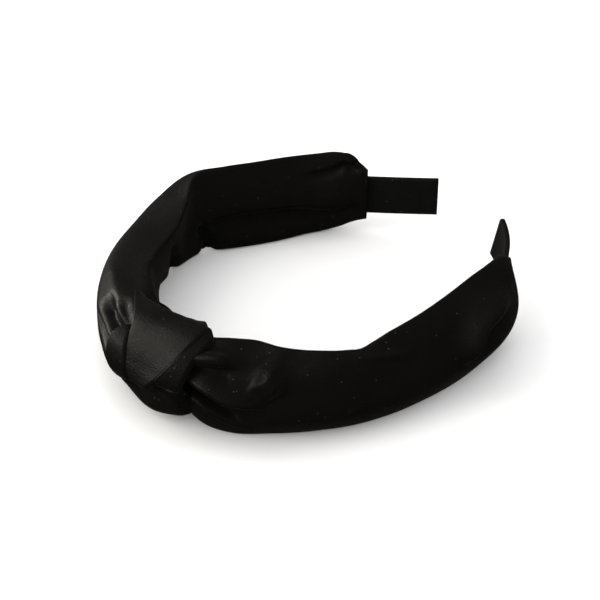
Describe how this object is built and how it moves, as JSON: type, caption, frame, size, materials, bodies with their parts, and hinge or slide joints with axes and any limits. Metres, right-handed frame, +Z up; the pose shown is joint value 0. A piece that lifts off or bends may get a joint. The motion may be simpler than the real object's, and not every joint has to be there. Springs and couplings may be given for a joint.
{
  "type": "top knot headband",
  "caption": "Black satin headband on a slim hard C-shaped hoop, with wide folded cloth sleeves gathered into a knot at the crown and bare square hoop ends, lying on its side.",
  "frame": {"origin": "centre of the footprint, on the surface that the headband lies on", "axes": "+Z up, across the hoop's width; -Y towards the knot at the crown and +Y towards the open ends; +X towards the sleeve that leaves the knot under its narrow fold"},
  "size_m": [0.1334, 0.1523, 0.0371],
  "materials": {
    "satin": "black satin with a soft warm sheen",
    "ribbon": "black ribbon covering, nearly matt"
  },
  "bodies": {
    "root": {"hoop": "ribbon", "sleeve_right": "satin", "sleeve_left": "satin", "knot_wrap": "satin", "knot_lobe": "satin", "knot_fold": "satin"}
  },
  "joints": []
}
